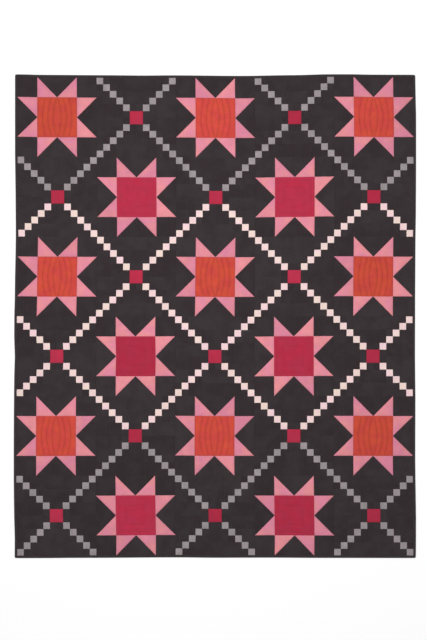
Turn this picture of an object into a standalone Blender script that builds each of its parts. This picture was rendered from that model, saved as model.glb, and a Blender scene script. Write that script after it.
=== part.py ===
"""A patchwork throw quilt, lying flat with its pieced face up.

The pieced top, the wadding and the backing are quilted together, so they are one filled solid:
flat below, swelling between straight rows of stitching above, and squeezed thin at the rim.
Four folded strips of binding wrap the rim and meet in mitres at the corners.

Metres. X runs from side to side, Y from foot to head and Z up from the surface that the quilt
lies on. The origin is the middle of the underside.
"""
import math
from collections import namedtuple

import bmesh
import bpy
import numpy as np

# Size of the whole quilt, over its furthest points
WIDTH = 1.530
LENGTH = 1.840

# Binding, folded double round the rim
BINDING_WIDTH = 0.0095    # seen on the face, and the same on the back
BINDING_CLOTH = 0.0009    # thickness of its folded layers
BINDING_HEIGHT = 0.0042   # from the surface to the top of the fold
FOLD_ROUND = 0.0012       # depth of the fold's rounded edge
FIT_GAP = 0.0003          # between neighbouring pieces
MITRE_SETBACK = 0.00022   # of each strip's end from the corner's diagonal

# Quilted layers
CHANNELS = 40             # from binding to binding, with a straight row of stitching between two
SHOULDER = 0.010          # from a row of stitching to full height
STITCH_HEIGHT = 0.0026    # of the face along a row of stitching
CROWN_HEIGHT = 0.0044     # of the face between two rows
LOFT_WAVE = 0.00025       # how far the wadding varies from place to place
OUTLINE_STEPS = 24        # along each long side

# Rim, squeezed between the binding's layers
RIM_INSET = BINDING_CLOTH + FIT_GAP
RIM_LOW = BINDING_CLOTH + FIT_GAP
RIM_HIGH = BINDING_HEIGHT - BINDING_CLOTH - FIT_GAP
RIM_END = 0.010           # inner end of the squeezed rim
RIM_RISE = 0.020          # where the face has its full height
SOLE_EDGE = 0.014         # where the flat underside begins

CHARCOAL = (0.0437, 0.0319, 0.0356, 1.0)
CLOTH_ROUGHNESS = 0.9

# How far each edge lies inside the quilt's furthest line, in millimetres, against the place along
# it in metres: up the sides from the foot, and across the ends from the left.
EdgePoint = namedtuple("EdgePoint", "along inset")
LEFT_EDGE = [
    EdgePoint(-0.92, 3.4), EdgePoint(-0.85, 4.0), EdgePoint(-0.72, 0.8), EdgePoint(-0.62, 0.0),
    EdgePoint(-0.50, 0.0), EdgePoint(-0.26, 1.2), EdgePoint(-0.16, 4.2), EdgePoint(-0.05, 1.2),
    EdgePoint(0.08, 4.2), EdgePoint(0.32, 8.0), EdgePoint(0.46, 7.0), EdgePoint(0.62, 4.9),
    EdgePoint(0.92, 4.9),
]
RIGHT_EDGE = [
    EdgePoint(-0.92, 1.0), EdgePoint(-0.81, 0.2), EdgePoint(-0.52, 3.4), EdgePoint(-0.32, 2.7),
    EdgePoint(-0.16, 4.2), EdgePoint(0.04, 3.8), EdgePoint(0.24, 2.8), EdgePoint(0.44, 0.6),
    EdgePoint(0.60, 0.0), EdgePoint(0.74, 0.0), EdgePoint(0.92, 3.2),
]
HEAD_EDGE = [
    EdgePoint(-0.765, 0.2), EdgePoint(-0.65, 2.5), EdgePoint(-0.43, 3.6), EdgePoint(-0.27, 4.9),
    EdgePoint(-0.17, 4.1), EdgePoint(0.10, 6.3), EdgePoint(0.30, 3.4), EdgePoint(0.44, 0.0),
    EdgePoint(0.52, 0.0), EdgePoint(0.60, 1.6), EdgePoint(0.765, 2.0),
]
FOOT_EDGE = [
    EdgePoint(-0.765, 0.0), EdgePoint(-0.71, 0.0), EdgePoint(-0.49, 1.1), EdgePoint(-0.14, 2.8),
    EdgePoint(0.0, 1.5), EdgePoint(0.20, 1.9), EdgePoint(0.42, 0.8), EdgePoint(0.765, 0.4),
]

# The lines up and across the quilt at which its outline may bend
CHANNEL_WIDTH = (WIDTH - 2 * BINDING_WIDTH) / CHANNELS
STITCH_ROWS = [row * CHANNEL_WIDTH for row in range(1 - CHANNELS // 2, CHANNELS // 2)]
ROW_LINES = np.array([-WIDTH / 2, *STITCH_ROWS, WIDTH / 2])
CROSS_LINES = np.linspace(-LENGTH / 2, LENGTH / 2, OUTLINE_STEPS + 1)


def eased_inset(table, along):
    """How far an edge lies inside the furthest line at one place, in metres."""
    for low, high in zip(table, table[1:]):
        if along <= high.along:
            share = (along - low.along) / (high.along - low.along)
            ease = (1 - math.cos(math.pi * share)) / 2
            return (low.inset + (high.inset - low.inset) * ease) / 1000
    return table[-1].inset / 1000


LEFT_INSETS = [eased_inset(LEFT_EDGE, y) for y in CROSS_LINES]
RIGHT_INSETS = [eased_inset(RIGHT_EDGE, y) for y in CROSS_LINES]
HEAD_INSETS = [eased_inset(HEAD_EDGE, x) for x in ROW_LINES]
FOOT_INSETS = [eased_inset(FOOT_EDGE, x) for x in ROW_LINES]


def laid(x, y, z):
    """A point of the evenly cut quilt, moved to where it lies in the uneven one.

    Between the bending lines the outline is straight, so pieces that share an edge keep the
    same small gap all the way along it.
    """
    across = x / WIDTH + 0.5
    up = y / LENGTH + 0.5
    left = np.interp(y, CROSS_LINES, LEFT_INSETS)
    right = np.interp(y, CROSS_LINES, RIGHT_INSETS)
    head = np.interp(x, ROW_LINES, HEAD_INSETS)
    foot = np.interp(x, ROW_LINES, FOOT_INSETS)
    return (x + left * (1 - across) - right * across, y + foot * (1 - up) - head * up, z)


def mirrored(places, half):
    """Places on both sides of the middle, closed off at each end by the squeezed rim."""
    inner = [place for place in places if place < half - RIM_RISE]
    outer = [half - inset for inset in (RIM_RISE, RIM_END, RIM_INSET)]
    positive = inner + outer
    return [-place for place in reversed(positive) if place > 0] + positive


def column_places():
    """Across the quilt: each row of stitching, and a shoulder on either side of it."""
    places = [0.0]
    for row in range(CHANNELS // 2):
        seam = row * CHANNEL_WIDTH
        places += [seam + SHOULDER, seam + CHANNEL_WIDTH - SHOULDER, seam + CHANNEL_WIDTH]
    return mirrored(places, WIDTH / 2)


def line_places():
    """Along the quilt: the lines at which the sides may bend."""
    places = [step * LENGTH / OUTLINE_STEPS for step in range(OUTLINE_STEPS // 2)]
    return mirrored(places, LENGTH / 2)


def face_height(x, y):
    """Height of the quilted face: low along the stitching, swelling between, thin at the rim."""
    seam_distance = abs(x - CHANNEL_WIDTH * round(x / CHANNEL_WIDTH))
    swell = min(seam_distance / SHOULDER, 1.0)
    wave = LOFT_WAVE * math.sin(11 * x + 5 * y) * math.cos(7 * y - 9 * x)
    full = STITCH_HEIGHT + swell * (CROWN_HEIGHT - STITCH_HEIGHT + wave)
    edge_distance = min(WIDTH / 2 - abs(x), LENGTH / 2 - abs(y))
    rise = min(max((edge_distance - RIM_END) / (RIM_RISE - RIM_END), 0.0), 1.0)
    return RIM_HIGH + rise * (full - RIM_HIGH)


def rim_walk(columns, lines):
    """Grid places round the rim, anticlockwise from the lower left corner."""
    last_column = len(columns) - 1
    last_line = len(lines) - 1
    walk = [(i, 0) for i in range(last_column)]
    walk += [(last_column, j) for j in range(last_line)]
    walk += [(i, last_line) for i in range(last_column, 0, -1)]
    walk += [(0, j) for j in range(last_line, 0, -1)]
    return walk


def bends(x, y):
    """Whether the outline may bend at this place on the rim: at corners and bending lines."""
    def on_line(place, lines):
        return np.min(np.abs(lines - place)) < 1e-6

    at_side = WIDTH / 2 - abs(x) < RIM_END / 2
    at_end = LENGTH / 2 - abs(y) < RIM_END / 2
    if at_side and at_end:
        return True
    return on_line(y, CROSS_LINES) if at_side else on_line(x, ROW_LINES)


def inset_point(mesh, x, y, inset, z):
    """A vertex under the rim place (x, y), the given distance in from the quilt's edge."""
    x_limit = WIDTH / 2 - inset
    y_limit = LENGTH / 2 - inset
    clamped_x = min(max(x, -x_limit), x_limit)
    clamped_y = min(max(y, -y_limit), y_limit)
    return mesh.verts.new(laid(clamped_x, clamped_y, z))


def add_underside(mesh, rim):
    """Close the body below its rim: a wall, a ledge for the binding, and a flat sole."""
    corners = [k for k, (x, y, _) in enumerate(rim) if bends(x, y)]
    places = [rim[k][:2] for k in corners]
    wall = [inset_point(mesh, x, y, RIM_INSET, RIM_LOW) for x, y in places]
    ledge = [inset_point(mesh, x, y, RIM_END, RIM_LOW) for x, y in places]
    sole = [inset_point(mesh, x, y, SOLE_EDGE, 0.0) for x, y in places]
    middle = mesh.verts.new((0.0, 0.0, 0.0))
    for k, start in enumerate(corners):
        following = (k + 1) % len(corners)
        end = corners[following] if following else len(rim)
        upper = [rim[n % len(rim)][2] for n in range(end, start - 1, -1)]
        mesh.faces.new([wall[k], wall[following], *upper])
        for outer, inner in ((wall, ledge), (ledge, sole)):
            mesh.faces.new([outer[k], inner[k], inner[following], outer[following]])
        mesh.faces.new([sole[k], middle, sole[following]])


def build_body(collection):
    """The quilted layers as one filled solid."""
    columns = column_places()
    lines = line_places()
    mesh = bmesh.new()
    grid = [[mesh.verts.new(laid(x, y, face_height(x, y))) for x in columns] for y in lines]
    for lower, upper in zip(grid, grid[1:]):
        for i in range(len(columns) - 1):
            mesh.faces.new([lower[i], lower[i + 1], upper[i + 1], upper[i]])
    rim = [(columns[i], lines[j], grid[j][i]) for i, j in rim_walk(columns, lines)]
    add_underside(mesh, rim)
    finish_piece(mesh, "quilt_body", collection)


def binding_section():
    """The folded strip's section as depth in from the quilt's edge and height."""
    top = BINDING_HEIGHT
    cloth = BINDING_CLOTH
    return [
        (BINDING_WIDTH, top), (FOLD_ROUND, top), (0.0, top - FOLD_ROUND), (0.0, FOLD_ROUND),
        (FOLD_ROUND, 0.0), (BINDING_WIDTH, 0.0), (BINDING_WIDTH, cloth), (cloth, cloth),
        (cloth, top - cloth), (BINDING_WIDTH, top - cloth),
    ]


def strip_rings(stations, half, place):
    """Sections along a strip. The first and last slope back from the corner as a mitre."""
    rings = []
    for station in stations:
        ring = []
        for depth, height in binding_section():
            limit = half - depth - MITRE_SETBACK
            along = min(max(station, -limit), limit)
            ring.append(place(along, depth, height))
        rings.append(ring)
    return rings


def build_binding(name, stations, half, place, collection):
    """One folded strip of binding, from mitre to mitre."""
    mesh = bmesh.new()
    rings = strip_rings(stations, half, place)
    verts = [[mesh.verts.new(point) for point in ring] for ring in rings]
    count = len(verts[0])
    for ring, following in zip(verts, verts[1:]):
        for k in range(count):
            after = (k + 1) % count
            mesh.faces.new([ring[k], ring[after], following[after], following[k]])
    mesh.faces.new(verts[0])
    mesh.faces.new(verts[-1])
    finish_piece(mesh, name, collection)


def build_bindings(collection):
    """The four strips: across the head and the foot, and up both sides."""
    half_width = WIDTH / 2
    half_length = LENGTH / 2
    build_binding("binding_top", ROW_LINES, half_width,
                  lambda along, depth, z: laid(along, half_length - depth, z), collection)
    build_binding("binding_bottom", ROW_LINES, half_width,
                  lambda along, depth, z: laid(along, depth - half_length, z), collection)
    build_binding("binding_left", CROSS_LINES, half_length,
                  lambda along, depth, z: laid(depth - half_width, along, z), collection)
    build_binding("binding_right", CROSS_LINES, half_length,
                  lambda along, depth, z: laid(half_width - depth, along, z), collection)


def cloth_material(name):
    """Dark printed cotton, with no shine."""
    material = bpy.data.materials.new(name)
    material.use_nodes = True
    shader = material.node_tree.nodes["Principled BSDF"]
    shader.inputs["Base Color"].default_value = CHARCOAL
    shader.inputs["Roughness"].default_value = CLOTH_ROUGHNESS
    shader.inputs["Metallic"].default_value = 0.0
    return material


def finish_piece(mesh, name, collection):
    """Turn a closed mesh outwards and link it as a named object in its own cloth."""
    bmesh.ops.recalc_face_normals(mesh, faces=mesh.faces)
    data = bpy.data.meshes.new(name)
    mesh.to_mesh(data)
    mesh.free()
    data.materials.append(cloth_material(name + "_cloth"))
    collection.objects.link(bpy.data.objects.new(name, data))


def clear_scene():
    """Remove whatever objects the scene starts with."""
    for item in list(bpy.data.objects):
        bpy.data.objects.remove(item, do_unlink=True)


def main():
    clear_scene()
    collection = bpy.context.scene.collection
    build_body(collection)
    build_bindings(collection)


main()
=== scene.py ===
"""The looks of a patchwork throw quilt that lies flat, face up.

Stars and chains of small squares are pieced from cotton patches on a dark ground. Each patch is a
solid tile of cloth and wadding whose edges dip into its seams, and which swells between the
lines of quilting. Folded binding wraps the rim, and a backing carries the patches.

Metres, in the frame of the CAD model. Patches are laid out on an even quilt first, and each of
their points is then moved to where it lies within the real, uneven outline.
"""

import math
import random
from collections import defaultdict, namedtuple

import bmesh
import bpy
import numpy as np
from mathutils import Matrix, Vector, geometry, kdtree, noise


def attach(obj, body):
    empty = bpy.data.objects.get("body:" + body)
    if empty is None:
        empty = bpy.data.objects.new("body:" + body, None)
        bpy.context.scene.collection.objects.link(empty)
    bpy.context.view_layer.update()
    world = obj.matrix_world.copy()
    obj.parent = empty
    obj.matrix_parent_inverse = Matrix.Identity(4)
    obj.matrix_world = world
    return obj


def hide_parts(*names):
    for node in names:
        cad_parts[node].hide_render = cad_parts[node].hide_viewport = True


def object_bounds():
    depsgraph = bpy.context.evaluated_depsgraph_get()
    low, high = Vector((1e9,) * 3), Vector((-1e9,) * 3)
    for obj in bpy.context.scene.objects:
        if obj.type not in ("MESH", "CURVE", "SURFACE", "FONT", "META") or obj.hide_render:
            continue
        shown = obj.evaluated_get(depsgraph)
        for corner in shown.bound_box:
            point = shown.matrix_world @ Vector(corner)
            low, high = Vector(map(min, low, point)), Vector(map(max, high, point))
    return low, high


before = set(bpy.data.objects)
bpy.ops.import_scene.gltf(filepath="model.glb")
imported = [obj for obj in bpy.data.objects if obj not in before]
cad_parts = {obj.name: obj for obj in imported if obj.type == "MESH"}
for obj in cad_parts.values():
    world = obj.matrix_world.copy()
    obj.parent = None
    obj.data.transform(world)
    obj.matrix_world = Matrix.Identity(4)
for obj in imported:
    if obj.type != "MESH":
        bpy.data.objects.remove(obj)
CAD_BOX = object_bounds()

# The even quilt, read from the frame
LOW, HIGH = (np.array(corner) for corner in CAD_BOX)
WIDTH, LENGTH = (HIGH - LOW)[:2]
BINDING_WIDTH = 0.0095
FOLD_ROUND = 0.0012        # height at which the CAD strips reach furthest out
CORNER_SOFTNESS = 0.0016   # how far the tip of a corner is drawn in
SAME = 1e-5                # places closer than this count as one

# Patchwork: a grid of square blocks, twelve cells a side
BLOCKS_ACROSS = 5
BLOCKS_ALONG = 6
BLOCK_CELLS = 12
CELL_X = (WIDTH - 2 * BINDING_WIDTH) / (BLOCKS_ACROSS * BLOCK_CELLS)
CELL_Y = (LENGTH - 2 * BINDING_WIDTH) / (BLOCKS_ALONG * BLOCK_CELLS)
BLUSH_HALVES = range(3, 9)  # half rows of blocks with blush chains, the others having gray ones

# Quilting
ROW_CELLS = 1.5            # between two straight rows of stitching
ROW_PITCH = ROW_CELLS * CELL_X
STITCH_HEIGHT = 0.0026     # of the face at a line of stitching
CROWN_HEIGHT = 0.0044      # of the face far from any
SWELL_REACH = 0.0065       # how fast the face swells away from a line
GROOVE_DEPTH = 0.0006      # where the thread bites
GROOVE_REACH = 0.0013
SEAM_DIP = 0.00030         # of each patch's edge into its seam
SEAM_REACH = 0.0007
LINE_SAMPLE = 0.0008       # between the points that stand for a line of stitching
SEAM_ALLOWANCE = 0.0004    # a row this close to a seam runs in the seam
SHORTEST_CROSSING = 0.002  # of a row over one patch
SHORTEST_ROW = 0.010

# Soft unevenness: the size of its waves, and which layer of the noise it takes
Ripple = namedtuple("Ripple", "size layer")
PUCKER = Ripple(0.016, 3.1)         # beside the stitching
PUCKER_HEIGHT = 0.00035
PUCKER_REACH = 0.012
WADDING_LIE = Ripple(0.11, 7.7)
FINE_LIE = Ripple(0.045, 1.3)
FINE_LIE_SHARE = 0.5
LIE_HEIGHT = 0.00030

# Patches
SEAM_GAP = 0.00003         # half the gap between two patches
PATCH_FLOOR = 0.0014       # underside of the patches
BORDER_INSETS = (0.0, 0.0007, 0.0024)
BORDER_OFFSETS = (-0.0065, -0.0020, 0.0, 0.0020, 0.0065,
                  ROW_PITCH / 3, ROW_PITCH / 2, ROW_PITCH * 2 / 3)
BORDER_STEP = CELL_Y / 3   # between points of an upright border
MARK_CLEARANCE = 0.0006    # between the points of a border
FILL_OFFSETS = (-0.0120, -0.0065, 0.0065, 0.0120, ROW_PITCH / 2)
FILL_STEP = 0.0085
COLOUR_FILL_STEPS = (FILL_STEP * 0.7, FILL_STEP * 0.8)   # across and along a coloured patch
FILL_CLEARANCE = 0.0042
GROOVE_FLANK = 0.0020      # from a groove's bottom to the points beside it
GROOVE_STEP = 0.006
GROOVE_CLEARANCE = 0.0030  # from a patch's edge to the first point on a groove
FILL_FROM_GROOVE = 0.0032
TUCK = 0.0015              # of the outer patches under the binding
KEEP_INSIDE = 1            # what the triangulation keeps: all that its outline encloses
WELD = 1e-7
CLOTH_REACH = 3.0          # how far off on its cloth a patch may have been cut
SHARP_EDGE = math.radians(55)

rng = random.Random(41)

Patch = namedtuple("Patch", "block cloth corners grain")
Cloth = namedtuple("Cloth", "main second mottle patch_tone clouding groove_shade yarn")

# Cloths: two tones as sRGB, how big the mottling is in metres, how much one patch differs from
# the next, how uneven the dye is, how much painted shade darkens the bottom of a line of
# stitching, and how much warp and weft differ
CLOTHS = {
    "ground": Cloth((47, 37, 40), (52, 45, 48), 0.060, 0.05, 0.25, 0.025, 0.32),
    "orange": Cloth((211, 77, 54), (204, 68, 61), 0.045, 0.09, 0.30, 0.200, 0.12),
    "crimson": Cloth((182, 37, 66), (177, 42, 70), 0.050, 0.12, 0.25, 0.000, 0.14),
    "pink": Cloth((225, 136, 161), (230, 143, 150), 0.060, 0.06, 0.28, 0.080, 0.12),
    "gray": Cloth((161, 151, 154), (152, 144, 146), 0.030, 0.08, 0.35, 0.050, 0.24),
    "blush": Cloth((245, 221, 211), (244, 210, 215), 0.040, 0.04, 0.16, 0.050, 0.10),
}


# Outline

def fold_line(node, along_axis):
    """The outer fold of one CAD strip: places along the edge, and how far out it runs there."""
    out_axis = 1 - along_axis
    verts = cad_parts[node].data.vertices
    fold = [v.co for v in verts if abs(v.co.z - FOLD_ROUND) < SAME]
    line = sorted({(round(co[along_axis], 6), round(co[out_axis], 6)) for co in fold})
    places, reaches = zip(*line)
    return np.array(places), np.array(reaches)


LEFT_FOLD = fold_line("binding_left", 1)
RIGHT_FOLD = fold_line("binding_right", 1)
HEAD_FOLD = fold_line("binding_top", 0)
FOOT_FOLD = fold_line("binding_bottom", 0)


def laid(points):
    """Points of the even quilt, moved sideways to where they lie in the uneven one."""
    points = np.asarray(points, float)
    x, y = points[:, 0], points[:, 1]
    left, right = np.interp(y, *LEFT_FOLD), np.interp(y, *RIGHT_FOLD)
    foot, head = np.interp(x, *FOOT_FOLD), np.interp(x, *HEAD_FOLD)
    moved = points.copy()
    moved[:, 0] = left + (right - left) * (x / WIDTH + 0.5)
    moved[:, 1] = foot + (head - foot) * (y / LENGTH + 0.5)
    return moved


# Patchwork layout

def turned(corners, quarters):
    """Corners of a block turned by quarter turns about its middle."""
    for _ in range(quarters):
        corners = [(BLOCK_CELLS - v, u) for u, v in corners]
    return corners


def star_block(centre_cloth):
    """A sawtooth star: a centre square, eight points, and the ground round them."""
    yield centre_cloth, [(3, 3), (9, 3), (9, 9), (3, 9)], 0
    for quarter in range(4):
        grain = 90 * quarter
        yield "ground", turned([(0, 0), (3, 0), (3, 3), (0, 3)], quarter), grain
        yield "ground", turned([(3, 0), (9, 0), (6, 3)], quarter), grain
        yield "pink", turned([(3, 0), (6, 3), (3, 3)], quarter), grain
        yield "pink", turned([(9, 0), (9, 3), (6, 3)], quarter), grain


def rectangle(u, v, width, height):
    """Corners of a patch that is square to the block."""
    return [(u, v), (u + width, v), (u + width, v + height), (u, v + height)]


def chain_block(foot_cloth, head_cloth):
    """An Irish chain: small squares along both diagonals, a crimson one where they cross."""
    units = middle = BLOCK_CELLS // 2
    yield "crimson", rectangle(middle - 1, middle - 1, 2, 2), 0
    for row in range(units):
        start = 0
        for column in range(units + 1):
            rising = column == row
            falling = column == units - 1 - row
            if column < units and not (rising or falling):
                continue
            if column > start:
                yield "ground", rectangle(2 * start, 2 * row, 2 * (column - start), 2), 0
            start = column + 1
            if column == units:
                continue
            for u, v in ((0, 0), (1, 0), (0, 1), (1, 1)):
                left, foot = 2 * column + u, 2 * row + v
                if left in (middle - 1, middle) and foot in (middle - 1, middle):
                    continue
                chain_cloth = foot_cloth if foot < middle else head_cloth
                cloth = chain_cloth if (u == v) == rising else "ground"
                yield cloth, rectangle(left, foot, 1, 1), 90 * (u ^ v)


def even_place(u, v):
    """A corner of the grid of cells, in metres. The outermost are tucked under the binding."""
    across, along = BLOCKS_ACROSS * BLOCK_CELLS, BLOCKS_ALONG * BLOCK_CELLS
    x = (u - across / 2) * CELL_X + TUCK * ((u == across) - (u == 0))
    y = (v - along / 2) * CELL_Y + TUCK * ((v == along) - (v == 0))
    return Vector((x, y))


def pieced_top():
    """Every patch of the top."""
    patches = []
    for row in range(BLOCKS_ALONG):
        for column in range(BLOCKS_ACROSS):
            if (row + column) % 2 == 0:
                kind, block = "star", star_block("orange" if column % 2 == 0 else "crimson")
            else:
                head_cloth, foot_cloth = ("blush" if half in BLUSH_HALVES else "gray"
                                          for half in (2 * row, 2 * row + 1))
                kind, block = "chain", chain_block(foot_cloth, head_cloth)
            left = column * BLOCK_CELLS
            foot = (BLOCKS_ALONG - 1 - row) * BLOCK_CELLS
            for cloth, corners, grain in block:
                places = [even_place(left + u, foot + v) for u, v in corners]
                patches.append(Patch(kind, cloth, places, grain))
    return patches


# Lines of quilting

def straight_rows():
    """Where the straight rows of stitching run across the even quilt."""
    half = BLOCKS_ACROSS * BLOCK_CELLS / 2
    count = int(half / ROW_CELLS)
    return [k * ROW_CELLS * CELL_X for k in range(1 - count, count)]


ROWS = straight_rows()


def crossing(corners, x):
    """The stretch of the line at x that lies in a convex patch, or None."""
    heights = []
    for start, end in zip(corners, corners[1:] + corners[:1]):
        if abs(end.x - start.x) < SAME:
            if abs(start.x - x) < SAME:
                heights += [start.y, end.y]
        elif min(start.x, end.x) - SAME <= x <= max(start.x, end.x) + SAME:
            share = (x - start.x) / (end.x - start.x)
            heights.append(start.y + share * (end.y - start.y))
    if heights and max(heights) - min(heights) > SHORTEST_CROSSING:
        return min(heights), max(heights)
    return None


def ground_stretches(patches, x):
    """The stretches of the line at x that lie on the ground."""
    found = [crossing(p.corners, x) for p in patches if p.cloth == "ground"]
    merged = []
    for low, high in sorted(stretch for stretch in found if stretch):
        if merged and low <= merged[-1][1] + SAME:
            merged[-1][1] = max(merged[-1][1], high)
        else:
            merged.append([low, high])
    return merged


def row_stretches(patches):
    """Stretches of the straight rows, which show only where both their sides are ground."""
    stretches = []
    for x in ROWS:
        left = ground_stretches(patches, x - SEAM_ALLOWANCE)
        right = ground_stretches(patches, x + SEAM_ALLOWANCE)
        for low, high in left:
            for other_low, other_high in right:
                start, end = max(low, other_low), min(high, other_high)
                if end - start > SHORTEST_ROW:
                    stretches.append([Vector((x, start)), Vector((x, end))])
    return stretches


# Arcs of stitching in an orange centre, by how far out their ends and their waists lie, and
# insets of the squares in a crimson one, as shares of half the centre
Arc = namedtuple("Arc", "ends waist")
ARCS = (Arc(0.05, 0.20), Arc(0.30, 0.47), Arc(0.60, 0.74))
ARC_REACH = 0.94
ARC_STEPS = 24
ECHO_INSETS = (0.16, 0.52)


def centre_quilting(patch):
    """Nested arcs from foot to head in an orange centre, or echoed squares in a crimson one."""
    if patch.block == "chain":
        return
    low, high = patch.corners[0], patch.corners[2]
    middle, half = (low + high) / 2, (high - low) / 2
    if patch.cloth == "orange":
        for arc in ARCS:
            for side in (-1, 1):
                line = []
                for step in range(ARC_STEPS + 1):
                    up = step / ARC_STEPS
                    out = arc.ends + (arc.waist - arc.ends) * math.sin(up * math.pi)
                    rise = (2 * up - 1) * ARC_REACH
                    line.append(middle + Vector((side * out * half.x, rise * half.y)))
                yield line
    else:
        for inset in ECHO_INSETS:
            reach = half * (1 - inset)
            square = [(-1, -1), (1, -1), (1, 1), (-1, 1), (-1, -1)]
            yield [middle + Vector((u * reach.x, v * reach.y)) for u, v in square]


def framed(inset):
    """A closed line all round the even quilt, this far in from its edge."""
    x, y = WIDTH / 2 - inset, LENGTH / 2 - inset
    return [Vector(c) for c in ((-x, -y), (x, -y), (x, y), (-x, y), (-x, -y))]


def quilting_lines(patches):
    """All lines that hold the layers: rows in the ground, motifs in the centres, and ditches."""
    rows = row_stretches(patches)
    motifs, ditches = [], []
    for patch in patches:
        if patch.cloth in ("orange", "crimson"):
            motifs += centre_quilting(patch)
        if patch.cloth in ("orange", "crimson", "pink"):
            ditches.append(patch.corners + patch.corners[:1])
    return rows, motifs, ditches + [framed(BINDING_WIDTH)]


def sampled(line, step):
    """Points along a line of straight stretches, no further apart than the step."""
    for start, end in zip(line, line[1:]):
        count = max(1, math.ceil((end - start).length / step))
        for k in range(count):
            yield start.lerp(end, k / count)
    yield line[-1]


def nearest_finder(points):
    """A tree that finds the nearest of some flat points."""
    tree = kdtree.KDTree(len(points))
    for index, point in enumerate(points):
        tree.insert((point.x, point.y, 0.0), index)
    tree.balance()
    return tree


def stitch_finder(lines):
    """A tree that finds the nearest point of stitching."""
    return nearest_finder([point for line in lines for point in sampled(line, LINE_SAMPLE)])


# Relief of the face

def soft_noise(x, y, ripple):
    """One ripple's share of unevenness at a place, about -1 to 1."""
    return noise.noise(Vector((x / ripple.size, y / ripple.size, ripple.layer)))


def face_heights(points, stitches):
    """Height and fullness of the quilted face at places of the even quilt."""
    heights, fullness = [], []
    for x, y in points:
        distance = stitches.find((x, y, 0.0))[2]
        distance = math.sqrt(max(0.0, distance ** 2 - (LINE_SAMPLE / 2) ** 2))
        swell = 1 - math.exp(-distance / SWELL_REACH)
        groove = math.exp(-(distance / GROOVE_REACH) ** 2)
        pucker = soft_noise(x, y, PUCKER) * math.exp(-distance / PUCKER_REACH)
        lie = soft_noise(x, y, WADDING_LIE) + FINE_LIE_SHARE * soft_noise(x, y, FINE_LIE)
        height = STITCH_HEIGHT + swell * (CROWN_HEIGHT - STITCH_HEIGHT)
        height += PUCKER_HEIGHT * pucker + LIE_HEIGHT * lie * swell - GROOVE_DEPTH * groove
        heights.append(height)
        fullness.append(swell)
    return np.array(heights), np.array(fullness)


# Objects, node trees and materials of Blender

def add_object(name, data):
    """A new object in the scene."""
    added = bpy.data.objects.new(name, data)
    bpy.context.scene.collection.objects.link(added)
    return added


def add_sockets(tree, kind, *names, output=False):
    """Named inputs or outputs of a node group, all of one kind."""
    for name in names:
        tree.interface.new_socket(name=name, socket_type=kind,
                                  in_out="OUTPUT" if output else "INPUT")


class Nodes:
    """Short calls to add nodes to one tree and join them. A value or a socket feeds each input."""

    def __init__(self, tree):
        self.tree = tree

    def add(self, kind, settings=None, **values):
        node = self.tree.nodes.new(kind)
        for key, value in (settings or {}).items():
            setattr(node, key, value)
        self.fill(node.inputs, **values)
        return node

    def fill(self, inputs, **values):
        """Feed inputs by name, with an underscore for each space."""
        for key, value in values.items():
            self.give(inputs[key.replace("_", " ")], value)

    def give(self, socket, value):
        if isinstance(value, bpy.types.NodeSocket):
            self.tree.links.new(value, socket)
        else:
            socket.default_value = value

    def math(self, operation, first, second=0.0):
        node = self.add("ShaderNodeMath", {"operation": operation})
        self.give(node.inputs[0], first)
        self.give(node.inputs[1], second)
        return node.outputs[0]

    def times(self, first, second):
        return self.math("MULTIPLY", first, second)

    def mix_colour(self, factor, first, second, blend="MIX"):
        node = self.add("ShaderNodeMix", {"data_type": "RGBA", "blend_type": blend})
        self.give(node.inputs[0], factor)
        self.give(node.inputs[6], first)
        self.give(node.inputs[7], second)
        return node.outputs[2]


def new_material(name):
    """A material, the maker of its nodes, and the inputs of its shader."""
    material = bpy.data.materials.new(name)
    material.use_nodes = True
    tree = material.node_tree
    return material, Nodes(tree), tree.nodes["Principled BSDF"].inputs


# Patch meshes

def shrunk(corners, inset):
    """A convex polygon with each edge moved inwards."""
    count = len(corners)
    moved = []
    for k in range(count):
        before, here, after = corners[k - 1], corners[k], corners[(k + 1) % count]
        first = (here - before).normalized()
        second = (after - here).normalized()
        turn = first.x * second.y - first.y * second.x
        share = inset * (1 - first.dot(second)) / turn
        inwards = Vector((-first.y, first.x))
        moved.append(here + inwards * inset + first * -share)
    return moved


def clear_marks(marks, low, high):
    """The marks that lie between two limits, and not right beside either."""
    return [mark for mark in marks if low + MARK_CLEARANCE < mark < high - MARK_CLEARANCE]


def row_marks(low, high, offsets):
    """Places across the quilt between two limits, at given offsets from each row of stitching."""
    rows = range(math.floor(low / ROW_PITCH) - 1, math.ceil(high / ROW_PITCH) + 2)
    return clear_marks((k * ROW_PITCH + offset for k in rows for offset in offsets), low, high)


def border_points(corners):
    """A closed border, cut where neighbours cut theirs too, so that seams have no steps."""
    points = []
    for start, end in zip(corners, corners[1:] + corners[:1]):
        axis = 0 if abs(end.x - start.x) > SAME else 1
        low, high = sorted((start[axis], end[axis]))
        if axis == 0:
            marks = row_marks(low, high, BORDER_OFFSETS)
        else:
            steps = range(math.ceil(low / BORDER_STEP), math.ceil(high / BORDER_STEP))
            marks = clear_marks((k * BORDER_STEP for k in steps), low, high)
        shares = sorted((mark - start[axis]) / (end[axis] - start[axis]) for mark in marks)
        points += [start.lerp(end, share) for share in [0.0, *shares]]
    return points


def border_distance(corners, points):
    """Distance of each point from the nearest edge of a convex polygon, positive inside."""
    nearest = np.full(len(points), np.inf)
    for start, end in zip(corners, corners[1:] + corners[:1]):
        along = (end - start).normalized()
        offset = points - np.array(start)
        nearest = np.minimum(nearest, along.x * offset[:, 1] - along.y * offset[:, 0])
    return nearest


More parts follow.
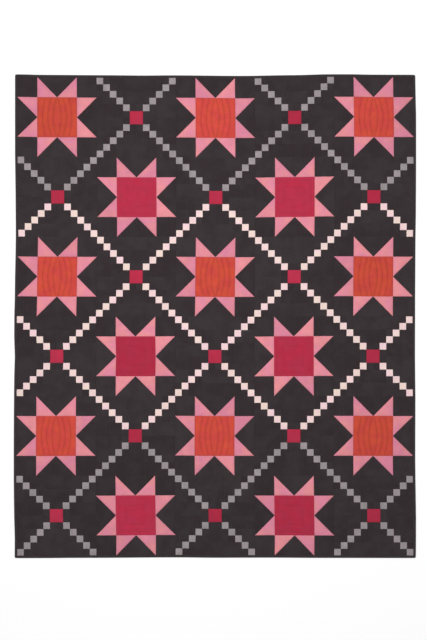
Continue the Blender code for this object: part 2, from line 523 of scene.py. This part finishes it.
def fill_points(patch):
    """Points inside a patch, clear of its border."""
    xs = [c.x for c in patch.corners]
    ys = [c.y for c in patch.corners]
    if patch.cloth == "ground":
        columns = row_marks(min(xs), max(xs), FILL_OFFSETS)
        step = FILL_STEP
    else:
        across, step = COLOUR_FILL_STEPS
        columns = np.arange(min(xs), max(xs), across)
    rows = np.arange(math.floor(min(ys) / step), math.ceil(max(ys) / step)) * step
    grid = np.array([(x, y) for x in columns for y in rows]).reshape(-1, 2)
    return grid[border_distance(patch.corners, grid) > FILL_CLEARANCE]


def groove_lines(patch):
    """The lines of stitching that cross one patch."""
    if patch.cloth == "ground":
        low, high = min(c.x for c in patch.corners), max(c.x for c in patch.corners)
        inside = [x for x in ROWS if low + GROOVE_CLEARANCE < x < high - GROOVE_CLEARANCE]
        crossed = [(x, crossing(patch.corners, x)) for x in inside]
        return [[Vector((x, stretch[0])), Vector((x, stretch[1]))]
                for x, stretch in crossed if stretch]
    if patch.cloth in ("orange", "crimson"):
        return list(centre_quilting(patch))
    return []


def groove_points(corners, lines):
    """Points on and beside the lines of stitching, and edges that join those on a line."""
    points, edges = [], []
    for line in lines:
        path = list(sampled(line, GROOVE_STEP))
        clear = border_distance(corners, np.array([tuple(p) for p in path])) > GROOVE_CLEARANCE
        last = None
        for index, here in enumerate(path):
            if not clear[index]:
                last = None
                continue
            ahead = path[min(index + 1, len(path) - 1)] - path[max(index - 1, 0)]
            beside = Vector((-ahead.y, ahead.x)).normalized() * GROOVE_FLANK
            if last is not None:
                edges.append((last, len(points)))
            last = len(points)
            points.append(here)
            for flank in (here + beside, here - beside):
                inside = border_distance(corners, np.array([tuple(flank)]))[0]
                if inside > GROOVE_CLEARANCE:
                    points.append(flank)
    return points, edges


def triangulated(points, edges):
    """Points and triangles of all that the edges enclose."""
    verts, _, faces, _, _, _ = geometry.delaunay_2d_cdt(points, edges, [], KEEP_INSIDE, WELD)
    return verts, faces


def patch_faces(patch):
    """Points of a patch's face, its triangles, and how many of the points are on its border."""
    corners = shrunk(patch.corners, SEAM_GAP)
    points, edges = [], []
    border_count = 0
    for inset in BORDER_INSETS:
        ring = border_points(shrunk(corners, inset) if inset else corners)
        first = len(points)
        points += ring
        edges += [(first + k, first + (k + 1) % len(ring)) for k in range(len(ring))]
        border_count = border_count or len(ring)
    inside = [Vector(p) for p in fill_points(patch)]
    grooves, joins = groove_points(corners, groove_lines(patch))
    if grooves:
        tree = nearest_finder(grooves)
        inside = [p for p in inside if tree.find((*p, 0.0))[2] > FILL_FROM_GROOVE]
    edges += [(len(points) + first, len(points) + second) for first, second in joins]
    verts, faces = triangulated(points + grooves + inside, edges)
    return verts, faces, border_count


class ClothMesh:
    """Collects patches of one cloth into one mesh."""

    def __init__(self):
        self.points = []
        self.faces = []
        self.uvs = []
        self.tones = []
        self.fullness = []

    def add(self, patch, stitches):
        """One patch as a closed tile: its quilted face, a wall round it, and a flat underside."""
        verts, faces, border_count = patch_faces(patch)
        flat = np.array([tuple(v) for v in verts])
        heights, fullness = face_heights(flat, stitches)
        depth = border_distance(patch.corners, flat)
        heights -= SEAM_DIP * np.exp(-np.maximum(depth, 0) / SEAM_REACH)
        first = len(self.points)
        under = first + len(flat)
        self.points += [(x, y, z) for (x, y), z in zip(flat, heights)]
        self.points += [(x, y, PATCH_FLOOR) for x, y in flat[:border_count]]
        self.faces += [tuple(first + i for i in face) for face in faces]
        ring = [(k, (k + 1) % border_count) for k in range(border_count)]
        self.faces += [(first + after, first + k, under + k, under + after) for k, after in ring]
        _, base = triangulated(verts[:border_count], ring)
        self.faces += [tuple(under + i for i in reversed(face)) for face in base]
        self.add_cut(patch, flat, fullness, border_count)

    def add_cut(self, patch, flat, fullness, border_count):
        """Where on its cloth the patch was cut, and the patch's own tone."""
        angle = math.radians(patch.grain)
        shift = (rng.uniform(-CLOTH_REACH, CLOTH_REACH), rng.uniform(-CLOTH_REACH, CLOTH_REACH))
        tone = rng.uniform(-1, 1)
        u = flat[:, 0] * math.cos(angle) - flat[:, 1] * math.sin(angle) + shift[0]
        v = flat[:, 0] * math.sin(angle) + flat[:, 1] * math.cos(angle) + shift[1]
        cut = list(zip(u, v))
        self.uvs += cut + cut[:border_count]
        # Undersides take no fullness, so the painted groove shade darkens them, and the foot of
        # each wall, fully
        self.fullness += [*fullness, *([0.0] * border_count)]
        self.tones += [tone] * (len(flat) + border_count)

    def build(self, name, material):
        """The finished piece, moved into the uneven outline."""
        return mesh_piece(name, laid(self.points), self.faces, material, self.uvs,
                          self.tones, self.fullness)


def mesh_piece(name, points, faces, material, uvs, tones=0.0, fullness=1.0):
    """A smooth-shaded cloth piece with a UV, a tone and a fullness per vertex."""
    mesh = bpy.data.meshes.new(name)
    mesh.from_pydata([tuple(p) for p in points], [], faces)
    corner_verts = np.empty(len(mesh.loops), int)
    mesh.loops.foreach_get("vertex_index", corner_verts)
    layer = mesh.uv_layers.new(name="cut")
    layer.data.foreach_set("uv", np.array(uvs, float)[corner_verts].ravel())
    for key, values in (("tone", tones), ("fullness", fullness)):
        attribute = mesh.attributes.new(key, "FLOAT", "POINT")
        attribute.data.foreach_set("value", np.full(len(points), values, float))
    mesh.shade_smooth()
    mesh.set_sharp_from_angle(angle=SHARP_EDGE)
    mesh.materials.append(material)
    return add_object(name, mesh)


def build_top(patches, stitches, materials):
    """The pieced top: a piece for each cloth, and two for the ground, one per kind of block."""
    meshes = defaultdict(ClothMesh)
    for patch in patches:
        name = patch.block + "_ground" if patch.cloth == "ground" else patch.cloth + "_patches"
        meshes[name, patch.cloth].add(patch, stitches)
    return [(cloth, mesh.build(name, materials[cloth]))
            for (name, cloth), mesh in meshes.items()]


# Backing

BACKING_RIM = (0.0013, 0.0075, 0.0090, 0.0102, 0.0130)   # insets of its outer lines of points
RIM_CLEARANCE = 0.001      # from those to the lines within
RIM_TOP = 0.0029           # of the squeezed rim inside the binding
RIM_UNDER = 0.0011
RAISED_RIM = 0.0080        # how far in the rim's top is raised
LIFTED_RIM = 0.0110        # how far in its underside is lifted off the ground
BACKING_TOP = 0.0012       # under the patches
BACKING_GROOVE = 0.0006    # where a row of stitching pulls the backing up
GROOVE_SIDE = 0.003
BACKING_LINES = 44
CORNER_SIZE = 0.003        # of the tip that is drawn in


def backing_places(middle_places, half):
    """Places across or along the backing, with its rim's lines at both ends."""
    rim = [half - inset for inset in BACKING_RIM]
    inner = [place for place in middle_places if abs(place) < rim[-1] - RIM_CLEARANCE]
    return [-place for place in rim] + inner + rim[::-1]


def corner_drawn_in(x, y):
    """A point of the backing, drawn in at the quilt's corners as the binding is."""
    if WIDTH / 2 - abs(x) < CORNER_SIZE and LENGTH / 2 - abs(y) < CORNER_SIZE:
        return x - math.copysign(CORNER_SOFTNESS, x), y - math.copysign(CORNER_SOFTNESS, y)
    return x, y


def backing_heights(x, y):
    """Heights of the backing's upper and lower side."""
    inset = min(WIDTH / 2 - abs(x), LENGTH / 2 - abs(y))
    top = RIM_TOP if inset < RAISED_RIM else BACKING_TOP
    if inset < LIFTED_RIM:
        return top, RIM_UNDER
    distance = min(abs(x - row) for row in ROWS)
    return top, BACKING_GROOVE * max(0.0, 1 - distance / GROOVE_SIDE)


def build_backing(material):
    """Wadding and backing as one closed sheet, flat below but for its rows of stitching."""
    columns = sorted(x + side for x in ROWS for side in (-GROOVE_SIDE, 0.0, GROOVE_SIDE))
    columns = backing_places(columns, WIDTH / 2)
    lines = backing_places(np.linspace(-LENGTH / 2, LENGTH / 2, BACKING_LINES), LENGTH / 2)
    wide, tall = len(columns), len(lines)
    upper, lower = [], []
    for y in lines:
        for x in columns:
            top, under = backing_heights(x, y)
            place = corner_drawn_in(x, y)
            upper.append((*place, top))
            lower.append((*place, under))
    count = wide * tall
    faces = []
    for j in range(tall - 1):
        for i in range(wide - 1):
            k = j * wide + i
            faces.append((k, k + 1, k + wide + 1, k + wide))
            faces.append((count + k, count + k + wide, count + k + wide + 1, count + k + 1))
    rim = [*range(wide - 1), *range(wide - 1, count - 1, wide),
           *range(count - 1, count - wide, -1), *range(count - wide, 0, -wide)]
    for here, after in zip(rim, rim[1:] + rim[:1]):
        faces.append((after, here, count + here, count + after))
    points = np.array(upper + lower)
    return mesh_piece("backing", laid(points), faces, material, points[:, :2])


# Binding

BINDING_STEP = 0.009
MITRE_SETBACK = 0.00010
CORNER_REACH = 0.0030      # how fast a corner's softness fades along the strip
CORNER_STATIONS = (0.0, 0.0008, 0.0018, 0.0030, 0.0045, 0.0065)   # from each end of a strip
CALM_END = 0.01            # near a mitre the strip lies calm
STRIP_WANDER = Ripple(0.05, 2.0)
WANDER_WIDTH = 0.0002
STRIP_PUCKER = Ripple(0.012, 5.0)
STRIP_PUCKER_HEIGHT = 0.00016
PUCKER_DRIFT = 20          # how much puckers differ from the inner fold to the outer
LIFTED_HEIGHT = 0.003      # from here up the strip may move freely
SECTION_PITCH = 0.0009     # of cloth between two points of the section
# The folded strip from its upper inner fold, over the outer one and back inside: how far each
# point lies in from the outer fold, and its height
BINDING_SECTION = [
    (0.0093, 0.0021), (0.0097, 0.0026), (0.0095, 0.0032), (0.0085, 0.0038), (0.0064, 0.0042),
    (0.0038, 0.0042), (0.0018, 0.0040), (0.0007, 0.0035), (0.0001, 0.0027), (0.0000, 0.0019),
    (0.0001, 0.0011), (0.0007, 0.0004), (0.0018, 0.0000), (0.0080, 0.0000), (0.0094, 0.0002),
    (0.0096, 0.0006), (0.0090, 0.0009), (0.0011, 0.0010), (0.0010, 0.0030), (0.0085, 0.0031),
]


def binding_ring(share, half, place, seed):
    """One section of a strip. The share runs from -1 to 1 between its mitred ends."""
    points = []
    from_end = (1 - abs(share)) * half
    softness = CORNER_SOFTNESS * math.exp(-from_end / CORNER_REACH)
    end_calm = min(1.0, from_end / CALM_END)
    for depth, height in BINDING_SECTION:
        outer = max(0.0, 1 - depth / BINDING_WIDTH)
        inward = depth + softness * outer
        along = share * (half - inward - MITRE_SETBACK)
        wander = WANDER_WIDTH * soft_noise(along, seed, STRIP_WANDER)
        pucker = soft_noise(along, seed + PUCKER_DRIFT * depth, STRIP_PUCKER)
        lift = min(1.0, height / LIFTED_HEIGHT) * end_calm
        inward += wander * lift * (1 - outer)
        points.append((*place(along, inward), height + STRIP_PUCKER_HEIGHT * pucker * lift))
    return points


def build_binding(name, half, place, seed, material):
    """One folded strip, from mitre to mitre."""
    steps = round(2 * half / BINDING_STEP)
    corner = [1 - station / half for station in CORNER_STATIONS]
    middle = [2 * k / steps - 1 for k in range(1, steps)]
    shares = [-share for share in corner] + middle + corner[::-1]
    section = len(BINDING_SECTION)
    points, uvs, faces = [], [], []
    for ring_index, share in enumerate(shares):
        points += binding_ring(share, half, place, seed)
        uvs += [(share * half, SECTION_PITCH * k) for k in range(section)]
        if ring_index:
            back, here = (ring_index - 1) * section, ring_index * section
            faces += [(back + k, back + (k + 1) % section, here + (k + 1) % section, here + k)
                      for k in range(section)]
    last = (len(shares) - 1) * section
    faces.append(tuple(range(section)))
    faces.append(tuple(last + k for k in range(section)))
    piece = mesh_piece(name, laid(points), faces, material, uvs)
    outward_faces(piece)
    return piece


def outward_faces(piece):
    """Turn a closed mesh's faces outwards."""
    mesh = bmesh.new()
    mesh.from_mesh(piece.data)
    bmesh.ops.recalc_face_normals(mesh, faces=mesh.faces)
    mesh.to_mesh(piece.data)
    mesh.free()


def build_bindings(material):
    """The four strips, each named for its CAD strip."""
    x, y = WIDTH / 2, LENGTH / 2
    strips = {
        "top": (x, lambda along, depth: (along, y - depth)),
        "bottom": (x, lambda along, depth: (along, depth - y)),
        "left": (y, lambda along, depth: (depth - x, along)),
        "right": (y, lambda along, depth: (x - depth, along)),
    }
    return {side: build_binding("folded_binding_" + side, half, place, seed, material)
            for seed, (side, (half, place)) in enumerate(strips.items())}


# Stitches

THREAD_LIFT = 0.00022      # of the thread's middle above the bottom of its groove
LINE_STEP = 0.006
ROW_END = 0.0016           # of bare cloth between a row's last stitch and a seam
TOPSTITCH_INSET = 0.0102   # from the outer fold, in the ditch beside the binding
STITCH_SIDES = 4
SMALLEST_STITCH = (0.84, 0.84, 0.84)   # of a stitch's length, width and height
LARGEST_STITCH = (1.08, 1.12, 1.12)
Sewing = namedtuple("Sewing", "pitch length width rings seed")
ROW_SEWING = Sewing(0.0032, 0.0027, 0.00055, 2, 3)
MOTIF_SEWING = Sewing(0.0030, 0.0026, 0.00050, 3, 4)
BACK_SEWING = Sewing(0.0032, 0.0027, 0.00050, 2, 5)
BINDING_SEWING = Sewing(0.0030, 0.0026, 0.00050, 3, 6)


def face_thread(points, stitches):
    """Heights of the thread's middle on the face."""
    return face_heights(points, stitches)[0] + THREAD_LIFT


def back_thread(points, _):
    """Heights of the thread's middle on the back."""
    return [backing_heights(x, y)[1] - THREAD_LIFT for x, y in points]


def stitch_line_object(name, lines, thread_heights, stitches):
    """The lines of stitching as bare edges on the face or the back."""
    points, edges = [], []
    for line in lines:
        path = list(sampled(line, LINE_STEP))
        edges += [(len(points) + k, len(points) + k + 1) for k in range(len(path) - 1)]
        points += [(p.x, p.y) for p in path]
    heights = thread_heights(points, stitches)
    spots = [(x, y, z) for (x, y), z in zip(points, heights)]
    mesh = bpy.data.meshes.new(name + "_lines")
    mesh.from_pydata([tuple(p) for p in laid(spots)], edges, [])
    return add_object(name + "_lines", mesh)


def stitch_tree(material):
    """Geometry nodes that sew along edges: one small spindle of thread for each stitch."""
    tree = bpy.data.node_groups.new("sewn stitches", "GeometryNodeTree")
    add_sockets(tree, "NodeSocketGeometry", "Lines")
    add_sockets(tree, "NodeSocketFloat", "Pitch", "Length", "Thread width")
    add_sockets(tree, "NodeSocketInt", "Rings", "Seed")
    add_sockets(tree, "NodeSocketGeometry", "Stitches", output=True)
    make = Nodes(tree)
    given = make.add("NodeGroupInput").outputs
    result = make.add("NodeGroupOutput").inputs
    curve = make.add("GeometryNodeMeshToCurve", Mesh=given["Lines"])
    spots = make.add("GeometryNodeCurveToPoints", {"mode": "LENGTH"},
                     Curve=curve.outputs["Curve"], Length=given["Pitch"]).outputs
    facing = make.add("FunctionNodeAlignRotationToVector", {"axis": "X"},
                      Vector=spots["Tangent"])
    size = make.add("ShaderNodeCombineXYZ", X=given["Thread width"], Y=given["Thread width"],
                    Z=given["Length"])
    spindle = make.add("GeometryNodeMeshUVSphere", Segments=STITCH_SIDES,
                       Rings=given["Rings"], Radius=0.5)
    shaped = make.add("GeometryNodeTransform", Geometry=spindle.outputs["Mesh"],
                      Rotation=(0, math.pi / 2, 0), Scale=size.outputs["Vector"])
    uneven = make.add("FunctionNodeRandomValue", {"data_type": "FLOAT_VECTOR"},
                      Min=SMALLEST_STITCH, Max=LARGEST_STITCH, Seed=given["Seed"])
    sewn = make.add("GeometryNodeInstanceOnPoints", Points=spots["Points"],
                    Instance=shaped.outputs["Geometry"], Rotation=facing.outputs["Rotation"],
                    Scale=uneven.outputs["Value"])
    real = make.add("GeometryNodeRealizeInstances", Geometry=sewn.outputs["Instances"])
    smooth = make.add("GeometryNodeSetShadeSmooth", Geometry=real.outputs["Geometry"])
    thread = make.add("GeometryNodeSetMaterial", Geometry=smooth.outputs["Geometry"],
                      Material=material)
    make.give(result["Stitches"], thread.outputs["Geometry"])
    return tree


def sew(name, lines, thread_heights, stitches, material, sewing):
    """Sew along the lines, and keep the result as a plain mesh."""
    guide = stitch_line_object(name, lines, thread_heights, stitches)
    modifier = guide.modifiers.new("sewing", "NODES")
    tree = stitch_tree(material)
    modifier.node_group = tree
    sockets = {item.name: item.identifier for item in tree.interface.items_tree
               if item.in_out == "INPUT"}
    for key, value in zip(("Pitch", "Length", "Thread width", "Rings", "Seed"), sewing):
        modifier[sockets[key]] = value
    bpy.context.view_layer.update()
    evaluated = guide.evaluated_get(bpy.context.evaluated_depsgraph_get())
    mesh = bpy.data.meshes.new_from_object(evaluated)
    mesh.name = name
    piece = add_object(name, mesh)
    guide.modifiers.clear()
    bpy.data.objects.remove(guide)
    return piece


def shortened(line, end):
    """A line of stitching with its ends drawn back from the seams that it stops at."""
    first = (line[1] - line[0]).normalized() * end
    last = (line[-2] - line[-1]).normalized() * end
    return [line[0] + first, *line[1:-1], line[-1] + last]


# Materials. Scales are in turns of the noise for each metre of cloth, distances in metres.

WEAVE_PITCH = 0.00042      # of one thread
CROSSING_BLEND = 0.15      # how softly a thread passes under the next
MOTTLE_EDGES = (0.38, 0.62)
TONE_LEAN = 0.35           # of a toned patch towards its second colour
SLUB_SCALE = 420.0
SLUB_STRETCH = (1.0, 5.0, 1.0)
SLUB_DEPTH = 0.22
CLOUD_SCALE = 32.0
# Painted shade along the stitching: how narrow its dark line is
GROOVE_SHARPNESS = 3.0     # how narrow the dark line of a groove is
FUZZ_SCALE = 900.0
FUZZ_HEIGHT = 0.6          # beside the height of a thread
WEAVE_DEPTH = 0.0002
CRINKLE_SCALE = 170.0
CRINKLE_DEPTH = 0.0012
CRINKLE_REACH = 1.25       # over how much of the fullness the crinkles fade away from a seam
BUMP_STRENGTH = 0.5
COTTON_ROUGHNESS = 0.82
FUZZ_ROUGHNESS = 0.12
COTTON_SPECULAR = 0.25
COTTON_SHEEN = 0.08
SHEEN_ROUGHNESS = 0.6
PLY_SCALE = 1500.0
PLY_STRENGTH = 0.3
PLY_DEPTH = 0.0001
THREAD_ROUGHNESS = 0.7
# The binding's tones are a little lighter than the ground's: partly its own dark cotton, partly
# painted highlight for its rounded crown
BINDING_TONES = {"main": (51, 43, 46), "second": (54, 46, 49)}
# Dark and pale tone of each thread, as sRGB
THREADS = {
    "quilting thread": ((90, 81, 85), (120, 110, 114)),
    "centre thread": ((160, 50, 60), (184, 64, 72)),
    "binding thread": ((52, 45, 48), (72, 64, 68)),
}


def linear(colour):
    """An sRGB colour, 0 to 255, as the linear colour that a shader takes."""
    def channel(value):
        value /= 255
        return value / 12.92 if value <= 0.04045 else ((value + 0.055) / 1.055) ** 2.4
    return (*(channel(value) for value in colour), 1.0)


def weave_group():
    """Plain weave: threads pass over and under each other, square to the cut of the patch."""
    tree = bpy.data.node_groups.new("plain weave", "ShaderNodeTree")
    add_sockets(tree, "NodeSocketVector", "Place")
    add_sockets(tree, "NodeSocketFloat", "Thread pitch")
    add_sockets(tree, "NodeSocketFloat", "Height", "Warp", output=True)
    make = Nodes(tree)
    given = make.add("NodeGroupInput").outputs
    result = make.add("NodeGroupOutput").inputs
    parts = make.add("ShaderNodeSeparateXYZ", Vector=given["Place"]).outputs
    turns = make.math("DIVIDE", math.pi, given["Thread pitch"])
    warp = make.math("SINE", make.times(parts["X"], turns))
    weft = make.math("SINE", make.times(parts["Y"], turns))
    over = make.add("ShaderNodeMapRange", Value=make.times(warp, weft),
                    From_Min=-CROSSING_BLEND, From_Max=CROSSING_BLEND).outputs["Result"]
    under = make.math("SUBTRACT", 1.0, over)
    warp_part = make.times(make.math("ABSOLUTE", warp), over)
    weft_part = make.times(make.math("ABSOLUTE", weft), under)
    make.give(result["Height"], make.math("ADD", warp_part, weft_part))
    make.give(result["Warp"], over)
    return tree


def dye_and_shade_group():
    """Dyed cotton: soft mottling, slubs, a tone for each patch, and painted shade along the
    stitching.
    """
    tree = bpy.data.node_groups.new("dyed cotton", "ShaderNodeTree")
    add_sockets(tree, "NodeSocketVector", "Place")
    add_sockets(tree, "NodeSocketColor", "Main", "Second")
    add_sockets(tree, "NodeSocketFloat", "Mottle size", "Tone", "Tone reach", "Clouding",
                "Fullness", "Groove shade", "Warp", "Yarn contrast")
    add_sockets(tree, "NodeSocketColor", "Colour", output=True)
    make = Nodes(tree)
    given = make.add("NodeGroupInput").outputs
    result = make.add("NodeGroupOutput").inputs
    place = given["Place"]
    # Hue: two tones of one dye, in soft mottles
    frequency = make.math("DIVIDE", 1.0, given["Mottle size"])
    cloud = make.add("ShaderNodeTexNoise", Vector=place, Scale=frequency, Detail=3.0)
    share = make.add("ShaderNodeMapRange", Value=cloud.outputs["Fac"],
                     From_Min=MOTTLE_EDGES[0], From_Max=MOTTLE_EDGES[1])
    leaning = make.times(given["Tone"], TONE_LEAN)
    factor = make.add("ShaderNodeClamp", Value=make.math("ADD", share.outputs["Result"], leaning))
    colour = make.mix_colour(factor.outputs["Result"], given["Main"], given["Second"])
    # Level: slubs, uneven dye, painted shade in the grooves, yarns, and the patch's own tone
    long_way = make.add("ShaderNodeVectorMath", {"operation": "MULTIPLY"})
    make.give(long_way.inputs[0], place)
    make.give(long_way.inputs[1], SLUB_STRETCH)
    slub = make.add("ShaderNodeTexNoise", Vector=long_way.outputs[0], Scale=SLUB_SCALE,
                    Detail=2.0)
    grain = make.math("ADD", make.times(slub.outputs["Fac"], SLUB_DEPTH), 1 - SLUB_DEPTH / 2)
    patchy = make.add("ShaderNodeTexNoise", Vector=place, Scale=CLOUD_SCALE, Detail=3.0)
    uneven = make.times(make.math("SUBTRACT", patchy.outputs["Fac"], 0.5), given["Clouding"])
    # Painted shade: darker towards each line of stitching, where the fullness falls to nothing
    hollow = make.math("POWER", make.math("SUBTRACT", 1.0, given["Fullness"]), GROOVE_SHARPNESS)
    lit = make.math("SUBTRACT", 1.0, make.times(hollow, given["Groove shade"]))
    dye = make.times(lit, make.math("ADD", uneven, 1.0))
    warp_side = make.math("SUBTRACT", given["Warp"], 0.5)
    yarn = make.math("ADD", make.times(warp_side, given["Yarn contrast"]), 1.0)
    toned = make.math("ADD", make.times(given["Tone"], given["Tone reach"]), 1.0)
    level = make.times(make.times(grain, dye), make.times(yarn, toned))
    grey = make.add("ShaderNodeCombineColor", Red=level, Green=level, Blue=level)
    make.give(result["Colour"], make.mix_colour(1.0, colour, grey.outputs["Color"], "MULTIPLY"))
    return tree


def cotton(name, cloth, groups):
    """Matte woven cotton in one cloth's tones, with painted shade along its stitching."""
    material, make, shader = new_material(name)
    place = make.add("ShaderNodeUVMap", {"uv_map": "cut"}).outputs["UV"]
    tone = make.add("ShaderNodeAttribute", {"attribute_name": "tone"}).outputs["Fac"]
    fullness = make.add("ShaderNodeAttribute", {"attribute_name": "fullness"}).outputs["Fac"]
    weave = make.add("ShaderNodeGroup", {"node_tree": groups["weave"]}, Place=place,
                     Thread_pitch=WEAVE_PITCH)
    dye_and_shade = make.add("ShaderNodeGroup", {"node_tree": groups["dye_and_shade"]}, Place=place, Tone=tone,
                    Main=linear(cloth.main), Second=linear(cloth.second),
                    Mottle_size=cloth.mottle, Tone_reach=cloth.patch_tone,
                    Clouding=cloth.clouding, Fullness=fullness,
                    Groove_shade=cloth.groove_shade, Warp=weave.outputs["Warp"],
                    Yarn_contrast=cloth.yarn)
    fuzz = make.add("ShaderNodeTexNoise", Vector=place, Scale=FUZZ_SCALE, Detail=2.0)
    relief = make.math("ADD", weave.outputs["Height"],
                       make.times(fuzz.outputs["Fac"], FUZZ_HEIGHT))
    crinkle = make.add("ShaderNodeTexNoise", Vector=place, Scale=CRINKLE_SCALE, Detail=2.0)
    near_seams = make.math("SUBTRACT", CRINKLE_REACH, fullness)
    drawn = make.times(crinkle.outputs["Fac"], near_seams)
    soft = make.add("ShaderNodeBump", Height=drawn, Strength=BUMP_STRENGTH,
                    Distance=CRINKLE_DEPTH)
    bump = make.add("ShaderNodeBump", Height=relief, Strength=BUMP_STRENGTH,
                    Distance=WEAVE_DEPTH, Normal=soft.outputs["Normal"])
    rough = make.math("ADD", make.times(fuzz.outputs["Fac"], FUZZ_ROUGHNESS), COTTON_ROUGHNESS)
    make.fill(shader, Base_Color=dye_and_shade.outputs["Colour"], Roughness=rough,
              Normal=bump.outputs["Normal"], Specular_IOR_Level=COTTON_SPECULAR,
              Sheen_Weight=COTTON_SHEEN, Sheen_Roughness=SHEEN_ROUGHNESS)
    return material


def thread_material(name, dark, pale):
    """Cotton thread, with the twist of its plies."""
    material, make, shader = new_material(name)
    place = make.add("ShaderNodeTexCoord").outputs["Object"]
    ply = make.add("ShaderNodeTexWave", {"bands_direction": "DIAGONAL"}, Vector=place,
                   Scale=PLY_SCALE, Distortion=1.0)
    colour = make.mix_colour(ply.outputs["Fac"], linear(dark), linear(pale))
    bump = make.add("ShaderNodeBump", Height=ply.outputs["Fac"], Strength=PLY_STRENGTH,
                    Distance=PLY_DEPTH)
    make.fill(shader, Base_Color=colour, Normal=bump.outputs["Normal"],
              Roughness=THREAD_ROUGHNESS)
    return material


def make_materials():
    """A material for each cloth, the binding, the backing and each thread."""
    groups = {"weave": weave_group(), "dye_and_shade": dye_and_shade_group()}
    materials = {name: cotton(name + " cotton", cloth, groups) for name, cloth in CLOTHS.items()}
    ground = CLOTHS["ground"]
    materials["binding"] = cotton("binding cotton", ground._replace(**BINDING_TONES), groups)
    materials["backing"] = cotton("backing cotton", ground, groups)
    for name, tones in THREADS.items():
        materials[name] = thread_material(name, *tones)
    return materials


# Room

PIXEL = 0.0038035          # metres of the quilt for each pixel of the photograph
FRAME_PIXELS = (427, 640)
QUILT_MIDDLE = (214.93, 316.20)   # of the quilt in the photograph
CAMERA_HEIGHT = 6.5
SENSOR = 36.0
FLOOR_HALF = 60.0
FLOOR_DROP = 0.0004        # below the quilt's underside
FLOOR_WHITE = 0.45
FLOOR_GLOW = 0.61
FLOOR_ROUGHNESS = 0.9
ROOM_LIGHT = 0.40
Lamp = namedtuple("Lamp", "name strength tilt")
SIDE_LAMPS = (Lamp("left lamp", 0.55, -24), Lamp("right lamp", 0.30, 24))
LAMP_LEAN = math.radians(-8)
LAMP_SPREAD = math.radians(25)
SOFT_BOX_PLACE = (-0.15, 0.45, 2.2)
SOFT_BOX_SIZE = 1.6
SOFT_BOX_POWER = 22.0


def place_camera():
    """Straight above the quilt, framed as the photograph is."""
    data = bpy.data.cameras.new("camera")
    data.sensor_width = SENSOR
    data.lens = SENSOR * CAMERA_HEIGHT / (FRAME_PIXELS[1] * PIXEL)
    camera = add_object("camera", data)
    x = (FRAME_PIXELS[0] / 2 - QUILT_MIDDLE[0]) * PIXEL
    y = (QUILT_MIDDLE[1] - FRAME_PIXELS[1] / 2) * PIXEL
    camera.location = (x, y, CAMERA_HEIGHT)
    bpy.context.scene.camera = camera


def build_floor():
    """A plain white floor, just under the quilt, that glows a little like a light table."""
    mesh = bpy.data.meshes.new("floor")
    corners = [(-1, -1), (1, -1), (1, 1), (-1, 1)]
    mesh.from_pydata([(u * FLOOR_HALF, v * FLOOR_HALF, -FLOOR_DROP) for u, v in corners],
                     [], [(0, 1, 2, 3)])
    material, make, shader = new_material("floor white")
    make.fill(shader, Base_Color=(FLOOR_WHITE, FLOOR_WHITE, FLOOR_WHITE, 1.0),
              Roughness=FLOOR_ROUGHNESS, Emission_Color=(1.0, 1.0, 1.0, 1.0),
              Emission_Strength=FLOOR_GLOW)
    mesh.materials.append(material)
    floor = add_object("floor", mesh)


def light_room():
    """Even light from all round, a broad lamp high on each side, and a soft box overhead."""
    scene = bpy.context.scene
    scene.view_settings.view_transform = "Standard"
    world = bpy.data.worlds.new("room")
    world.use_nodes = True
    background = world.node_tree.nodes["Background"].inputs
    background["Color"].default_value = (1, 1, 1, 1)
    background["Strength"].default_value = ROOM_LIGHT
    scene.world = world
    for name, strength, tilt in SIDE_LAMPS:
        data = bpy.data.lights.new(name, "SUN")
        data.energy = strength
        data.angle = LAMP_SPREAD
        add_object(name, data).rotation_euler = (LAMP_LEAN, math.radians(tilt), 0)
    data = bpy.data.lights.new("soft box", "AREA")
    data.shape = "DISK"
    data.size = SOFT_BOX_SIZE
    data.energy = SOFT_BOX_POWER
    soft_box = add_object("soft box", data)
    soft_box.location = SOFT_BOX_PLACE
    soft_box.visible_camera = False


# Putting the quilt together

def main():
    """Build every piece, hang it from the root, hide the CAD parts it replaces, and set up the
    room.
    """
    materials = make_materials()
    patches = pieced_top()
    rows, motifs, ditches = quilting_lines(patches)
    stitches = stitch_finder(rows + motifs + ditches)
    top = build_top(patches, stitches, materials)
    backing = build_backing(materials["backing"])
    bindings = build_bindings(materials["binding"])
    rows = [shortened(row, ROW_END) for row in rows]
    seams = [framed(TOPSTITCH_INSET)]
    sewn = (
        ("row_stitches", rows, face_thread, "quilting thread", ROW_SEWING),
        ("motif_stitches", motifs, face_thread, "centre thread", MOTIF_SEWING),
        ("back_stitches", rows, back_thread, "quilting thread", BACK_SEWING),
        ("binding_stitches", seams, face_thread, "binding thread", BINDING_SEWING),
    )
    threads = [sew(name, lines, heights, stitches, materials[thread], sewing)
               for name, lines, heights, thread, sewing in sewn]
    tops = [piece for _, piece in top]
    for piece in [backing, *tops, *bindings.values(), *threads]:
        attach(piece, "root")
    for cloth, piece in top:
        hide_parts("quilt_body")
    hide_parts("quilt_body")
    for side, piece in bindings.items():
        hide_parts("binding_" + side)
    build_floor()
    light_room()
    place_camera()


main()
